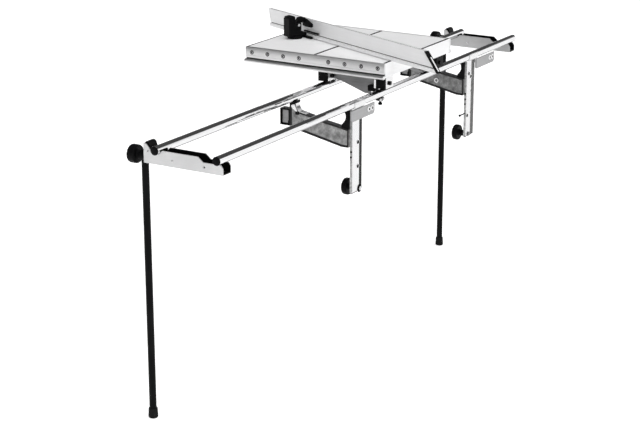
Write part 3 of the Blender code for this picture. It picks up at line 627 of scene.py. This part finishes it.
def arm_details(end):
    """The bits on the casting's face, and the clip's tail and core."""
    arm = low(f"support_arm_{end}")
    if end == "rear":
        eye = washer((arm.x + 0.0045, 0.105, 0.711), "X", 0.0046, 0.0082, 0.0030, -1)
        piece("arm_eyelet", eye, ZINC, "root", bevel=0.0004)
    pad = block((arm.x - 0.0012, arm.x + 0.0052), (0.1768, 0.1880), (0.7496, 0.7592))
    piece(f"arm_pad_{end}", pad, RUBBER, "root", bevel=0.0010)
    outline = [(0.1810, 0.7600), (0.1870, 0.7600), (0.1990, 0.7680), (0.2030, 0.7760), (0.1960, 0.7800)]
    outline += [(0.1895, 0.7800), (0.1858, 0.7700)]
    cheek = prism(outline, "X", arm.x - 0.0008, arm.x + 0.0052)
    piece(f"arm_cheek_{end}", cheek, CHEEK, "root", bevel=0.0002)
    tail = block((arm.x + 0.003, arm.x + 0.018), (0.2088, 0.2170), (0.7130, 0.7268))
    piece(f"clip_tail_{end}", tail, BLACK, "root", bevel=0.0010)
    clip_low, clip_high = low(f"arm_clip_{end}"), high(f"arm_clip_{end}")
    core = block((clip_low.x + 0.0050, clip_high.x - 0.0064), (clip_low.y + 0.0052, clip_high.y - 0.0048),
                 (clip_low.z + 0.0052, clip_high.z - 0.0052))
    piece(f"clip_core_{end}", core, SHEET, "root", bevel=0.0010)


# Carriages

def build_carriage_details():
    """The rail keepers, the lugs on the inner carriages and the wheel covers on the outer ones."""
    disc = [(0, 0), (0.0110, 0), (0.0125, 0.0010), (0.0125, 0.0030), (0.0110, 0.0042), (0, 0.0042)]
    for end in ENDS:
        plate = low(f"cross_plate_{end}")
        keeper = block((plate.x - 0.0145, plate.x - 0.0002), (0.0262, 0.0530), (0.7975, 0.8155))
        piece(f"rail_keeper_{end}", keeper, BLACK, "table", bevel=0.0012)
        box_low, box_high = low(f"roller_housing_inner_{end}"), high(f"roller_housing_inner_{end}")
        lug = block((box_low.x - 0.0016, box_low.x - 0.0002), (0.0125, 0.0185), (0.8150, 0.8420))
        piece(f"carriage_lug_{end}", lug, POLISHED, "table", bevel=0.0003)
        box_low, box_high = low(f"roller_housing_outer_{end}"), high(f"roller_housing_outer_{end}")
        middle = (box_low.x + box_high.x) / 2
        cover = block((box_low.x + 0.0010, box_high.x - 0.0010), (box_low.y - 0.0006, box_low.y - 0.0001),
                      (0.8162, 0.8570))
        piece(f"wheel_cover_plate_{end}", cover, POLISHED, "table", bevel=0.0001)
        centres = [(middle + shift, box_low.y, 0.8170) for shift in (-0.0128, 0.0128)]
        discs = [turned(disc, centre, "Y", 28) for centre in centres]
        piece(f"wheel_covers_{end}", joined(discs), BLACK, "table", bevel=0)
        nuts = [hexagon(centre, "Y", 0.0060, -0.0016, 0.0) for centre in centres]
        piece(f"wheel_cover_nuts_{end}", joined(nuts), ZINC, "table", bevel=0.0002)


# Mitre fence and head, in the pivot's frame

def build_fence():
    """The extrusion, leaning at its slanted ends, with painted shade in its top channel and slot, and its end
    plate.
    """
    (lip, back), _, (bottom, top) = local_box("fence_profile")
    points = [TO_PIVOT.inverted() @ v.co for v in nodes["fence_profile"].data.vertices]
    inner = min(p.y for p in points)
    outer = max(p.y for p in points if p.z < bottom + 0.001)
    leans = (min(p.y for p in points if p.z > top - 0.001) - inner, max(p.y for p in points) - outer)
    face = lip + 0.006

    def leaned(bm):
        for v in bm.verts:
            v.co.y += (leans[0] if v.co.y < 0 else leans[1]) * (v.co.z - bottom) / (top - bottom)
        return bm

    line = [(lip + 0.0006, bottom), (lip, bottom + 0.0008), (lip, 0.9168), (lip + 0.0008, 0.9180)]
    line += [(face + 0.003, 0.9180), (face + 0.003, 0.9200), (face, 0.9200), (face, 0.9206), (face, 0.9560)]
    line += [(face + 0.0004, 0.9563), (face + 0.0004, 0.9569), (face, 0.9572), (face, top - 0.0006)]
    line += [(face + 0.0006, top), (face + 0.0035, top), (face + 0.0042, top - 0.0008)]
    line += [(face + 0.0042, top - 0.006), (back - 0.0042, top - 0.006), (back - 0.0042, top - 0.0008)]
    line += [(back - 0.0035, top)]
    line += [(back - 0.0006, top), (back, top - 0.0006), (back, bottom)]
    bar = leaned(prism(line, "Y", inner + 0.0016, outer))
    piece("fence_extrusion", bar, FENCE_METAL, "fence", TO_PIVOT, 0.0, ("fence_profile",))
    length = (inner + 0.004, outer - 0.004)
    # Painted shade in the top channel.
    channel = leaned(block((face + 0.0010, back - 0.0010), length, (top - 0.0050, top - 0.0012)))
    piece("fence_top_channel_shade", channel, SHADOW_GAP_BLACK, "fence", TO_PIVOT, 0)
    slot = leaned(block((face + 0.0003, face + 0.0028), length, (0.91815, 0.91985)))
    piece("fence_slot_shadow", slot, SHADOW_GAP_BLACK, "fence", TO_PIVOT, 0)
    cap = leaned(block((lip + 0.0004, back - 0.0002), (inner + 0.0004, inner + 0.0014),
                       (bottom + 0.0002, top - 0.0002)))
    piece("fence_end_plate", cap, BLACK, "fence", TO_PIVOT, 0.0001)
    inlay = leaned(block((face + 0.0040, back - 0.0036), (inner + 0.0001, inner + 0.0005),
                         (bottom + 0.005, top - 0.016)))
    piece("fence_end_inlay", inlay, FENCE_METAL, "fence", TO_PIVOT, 0)


def build_mitre_details():
    """The bar the fence slides on, the head's lug and cap screw, and the lever pin's caps."""
    (head_low, reach), (near, far), _ = local_box("mitre_head")
    lip = local_box("fence_profile")[0][0]
    guide = block((reach + 0.0002, lip + 0.0048), (near - 0.0620, near + 0.0160), (0.9236, 0.9272))
    piece("fence_guide_bar", guide, BLACK, "mitre_head", TO_PIVOT, 0.0006)
    lug = [(0.0262, near - 0.036), (reach, near - 0.036), (reach, far - 0.004), (0.0262, far - 0.004)]
    piece("head_lug", prism(lug, "Z", 0.9060, 0.9131), BLACK, "mitre_head", TO_PIVOT, 0.0012)
    bolt = screw_head((head_low + 0.0120, 0, 0.9777), "Z", 0.0048, -0.0012, -1)
    piece("head_cap_screw", bolt, BLACK, "mitre_head", TO_PIVOT, 0)
    pins = [turned([(0, 0), (0.0040, 0), (0.0046, side * 0.0006), (0.0040, side * 0.0014), (0, side * 0.0016)],
                   (0.006, near if side < 0 else far, 0.948), "Y", 20) for side in (-1, 1)]
    piece("lever_pin_caps", joined(pins), ZINC, "mitre_head", TO_PIVOT, 0)


# Rails, legs and brackets

def build_rail_stop():
    """A small stop clamped under the inner rail behind the front hanger, with its two bolts."""
    x = high("mounting_plate_front").x + 0.030
    jaw = [(x, 0.7868), (x + 0.034, 0.7868), (x + 0.034, 0.7812), (x + 0.020, 0.7745), (x + 0.006, 0.7790)]
    piece("rail_stop", prism(jaw, "Y", -0.0070, 0.0070), BLACK, "root", bevel=0.0010)
    places = [(x + 0.008, -0.0070, 0.7828), (x + 0.026, -0.0070, 0.7825)]
    bolts = [screw_head(place_at, "Y", 0.0046, 0.0040, -1) for place_at in places]
    piece("rail_stop_bolts", joined(bolts), CHEEK, "root", bevel=0)
    grip = [(0, 0.7640), (0.0052, 0.7640), (0.0064, 0.7656), (0.0064, 0.7700), (0.0036, 0.7716), (0.0030, 0.7760)]
    screw = turned(grip + [(0, 0.7760)], (x + 0.020, 0, 0), "Z", 16)
    piece("rail_stop_screw", screw, COAT, "root", bevel=0)


def build_rail_details():
    """A thin ring where each plug meets its tube, the bracket's saddle screws and the knobs' inlaid caps."""
    ring_rows = [(0.0121, -0.0006), (0.01262, -0.0006), (0.01262, 0.0004), (0.0121, 0.0004)]
    cap_rows = [(0, -0.0018), (0.0118, -0.0018), (0.0122, -0.0010), (0.0100, -0.0002), (0, 0.0)]
    for end, x in (("front", 0), ("rear", LENGTH)):
        for side, y in (("inner", 0.0), ("outer", OUTER_Y)):
            ring = turned(ring_rows, (x, y, RAIL_Z), "X", 40)
            piece(f"tube_end_ring_{side}_{end}", ring, POLISHED, "root", bevel=0)
        face = low(f"end_bracket_{end}").x
        rivets = [screw_head((face, 0.150, 0.7760), "X", 0.0036, 0.0018, -1),
                  screw_head((face, 0.2290, 0.7930), "X", 0.0032, 0.0018, -1)]
        piece(f"bracket_rivets_{end}", joined(rivets), ZINC, "root", bevel=0)
        for kind, body in (("leg_knob", f"leg_knob_{end}"), ("clamp_knob", f"clamp_{end}")):
            knob_low, knob_high = low(f"{kind}_{end}"), high(f"{kind}_{end}")
            centre = ((knob_low.x + knob_high.x) / 2, knob_high.y, (knob_low.z + knob_high.z) / 2)
            cap = turned(cap_rows, centre, "Y", 32)
            piece(f"{kind}_cap_{end}", cap, COAT, body, bevel=0)


build_profiles()
build_table_lines()
for end in ENDS:
    arm_piece(end)
    strap_piece(end)
    post_details(end)
    plate_details(end)
    arm_details(end)
build_carriage_details()
build_fence()
build_mitre_details()
build_rail_stop()
build_rail_details()


# Camera, floor and light

# Where the camera stands from the rails' front end, and how it looks: turned left, tilted down
CAMERA_FROM_ORIGIN = Vector((-3.54758, -2.42696, 2.01226))
YAW = math.radians(30.7628)
PITCH = math.radians(17.5197)
LENS_MM = 95.6691
forward = Vector((math.cos(YAW) * math.cos(PITCH), math.sin(YAW) * math.cos(PITCH), -math.sin(PITCH)))
right = forward.cross(Vector((0, 0, 1))).normalized()
up = right.cross(forward)
camera_data = bpy.data.cameras.new("camera")
camera_data.sensor_width = 36
camera_data.lens = LENS_MM
camera = bpy.data.objects.new("camera", camera_data)
bpy.context.scene.collection.objects.link(camera)
turn = Matrix((right, up, -forward)).transposed().to_4x4()
camera.matrix_world = Matrix.Translation(ORIGIN + CAMERA_FROM_ORIGIN) @ turn
bpy.context.scene.camera = camera


def build_floor():
    """A plain pale floor. It glows a little, more so to the camera, so that no blot of shadow shows."""
    reach, level = 14, -0.0005
    corners = [(-reach, -reach, level), (reach, -reach, level), (reach, reach, level), (-reach, reach, level)]
    mesh = bpy.data.meshes.new("studio_floor")
    mesh.from_pydata(corners, [], [(0, 1, 2, 3)])
    floor = bpy.data.objects.new("studio_floor", mesh)
    bpy.context.scene.collection.objects.link(floor)
    material, _, links, shader = new_material("studio_floor")
    tree = material.node_tree
    tone = noise(tree, place(tree, (3, 3, 3)), 1.0, 2.0)
    links.new(ramp(tree, tone, [(0.3, 0.90), (0.7, 0.91)]), shader.inputs["Base Color"])
    shader.inputs["Roughness"].default_value = 0.9
    shader.inputs["Emission Color"].default_value = (1, 1, 1, 1)
    rays = tree.nodes.new("ShaderNodeLightPath")
    glow = maths(tree, "MULTIPLY_ADD", rays.outputs["Is Camera Ray"], 0.30, 0.20)
    links.new(glow, shader.inputs["Emission Strength"])
    mesh.materials.append(material)


def build_world():
    """A white room with a dark band overhead and a dark far wall. Camera rays see it all white."""
    world = bpy.data.worlds.new("studio")
    bpy.context.scene.world = world
    world.use_nodes = True
    tree = world.node_tree
    background = tree.nodes["Background"]
    coords = tree.nodes.new("ShaderNodeTexCoord")
    split = tree.nodes.new("ShaderNodeSeparateXYZ")
    tree.links.new(coords.outputs["Generated"], split.inputs[0])
    overhead = ramp(tree, split.outputs["Z"], [(0.0, 1.0), (0.31, 1.0), (0.37, 0.06), (0.62, 0.06), (0.80, 1.0)])
    far_wall = ramp(tree, split.outputs["Y"], [(0.0, 1.0), (0.10, 1.0), (0.24, 0.10), (0.70, 0.10), (0.90, 1.0)])
    room = blend_colours(tree, 1.0, overhead, far_wall, "DARKEN")
    rays = tree.nodes.new("ShaderNodeLightPath")
    seen = blend_colours(tree, rays.outputs["Is Camera Ray"], room, (1.0, 1.0, 1.0))
    tree.links.new(seen, background.inputs["Color"])
    background.inputs["Strength"].default_value = 1.0


def area(name, at, target, size, power):
    """A round soft light that looks from one point at another."""
    data = bpy.data.lights.new(name, "AREA")
    data.shape = "DISK"
    data.size = size
    data.energy = power
    made = bpy.data.objects.new(name, data)
    made.location = at
    made.rotation_euler = (Vector(target) - Vector(at)).to_track_quat("-Z", "Y").to_euler()
    made.visible_camera = False
    bpy.context.scene.collection.objects.link(made)


def build_lights():
    data = bpy.data.lights.new("soft_sun", "SUN")
    data.energy = 1.35
    data.angle = math.radians(75)
    sun = bpy.data.objects.new("soft_sun", data)
    sun.rotation_euler = (math.radians(18), math.radians(-14), 0)
    bpy.context.scene.collection.objects.link(sun)
    target, size = (0, 0, 0.6), 3.0
    area("key_light", (-2.4, -3.2, 4.2), target, size, 30)
    area("fill_light", (-4.5, 1.5, 2.6), target, size, 22)
    for lamp in bpy.context.scene.objects:
        if lamp.type == "LIGHT":
            lamp.visible_glossy = False


build_floor()
build_world()
build_lights()
bpy.context.scene.view_settings.view_transform = "Standard"
